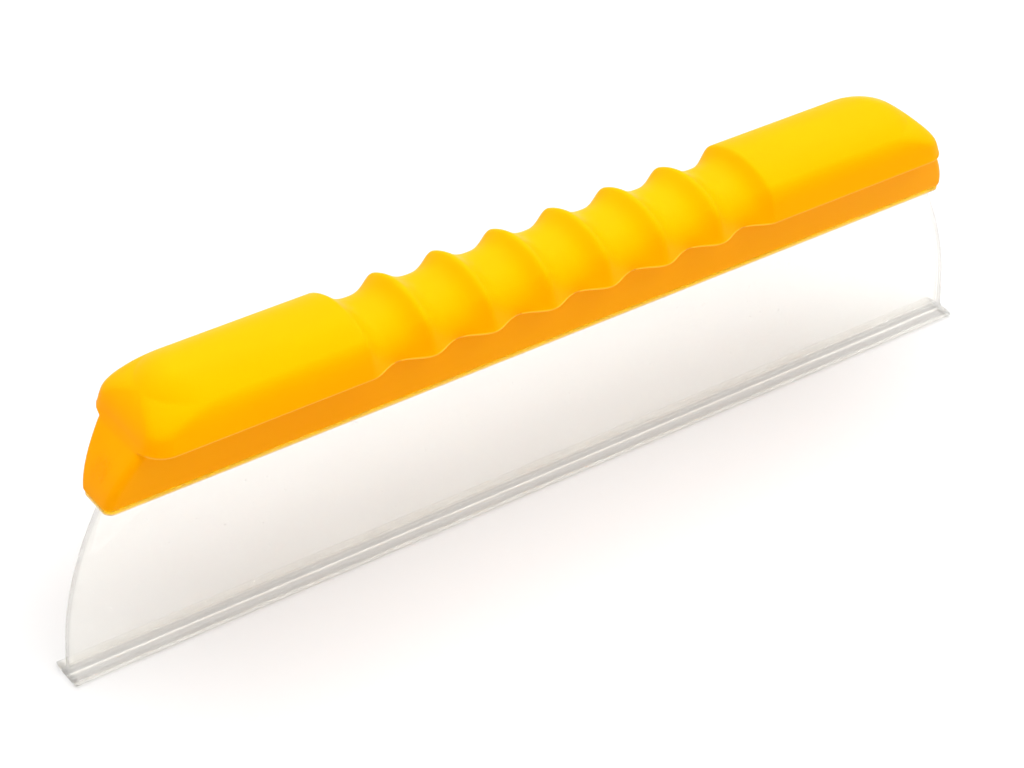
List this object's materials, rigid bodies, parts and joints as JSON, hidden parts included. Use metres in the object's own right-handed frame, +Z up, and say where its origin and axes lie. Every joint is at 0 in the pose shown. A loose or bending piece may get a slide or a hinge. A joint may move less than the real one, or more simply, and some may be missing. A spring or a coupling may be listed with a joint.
{
  "type": "silicone water blade squeegee",
  "caption": "Hand squeegee with a ridged moulded grip and a clear silicone blade that ends in a T-shaped wiping edge and springs back when it bends.",
  "frame": {"origin": "on the surface that the T edge rests on, under the middle of the tool", "axes": "+X along the tool, +Y across it, +Z up from the wiping edge to the grip"},
  "size_m": [0.305, 0.0344, 0.0851],
  "materials": {
    "grip_plastic": "satin",
    "clamp_plastic": "matte",
    "screw_steel": "satin",
    "clear_silicone": "gloss"
  },
  "bodies": {
    "handle": {"grip": "grip_plastic", "clamp_bar_front": "clamp_plastic", "clamp_bar_rear": "clamp_plastic", "clamp_screw_1": "screw_steel", "clamp_screw_2": "screw_steel", "clamp_screw_3": "screw_steel", "clamp_screw_4": "screw_steel", "clamp_screw_5": "screw_steel", "clamp_screw_6": "screw_steel", "blade_root": "clear_silicone"},
    "flexing_blade": {"blade": "clear_silicone"}
  },
  "joints": [
    {"name": "blade_flex", "type": "hinge", "parent": "handle", "child": "flexing_blade", "pos_m": [0, 0, 0.0502], "axis": [1, 0, 0], "range_deg": [-35, 35], "stiffness_Nm_per_rad": 0.15}
  ]
}
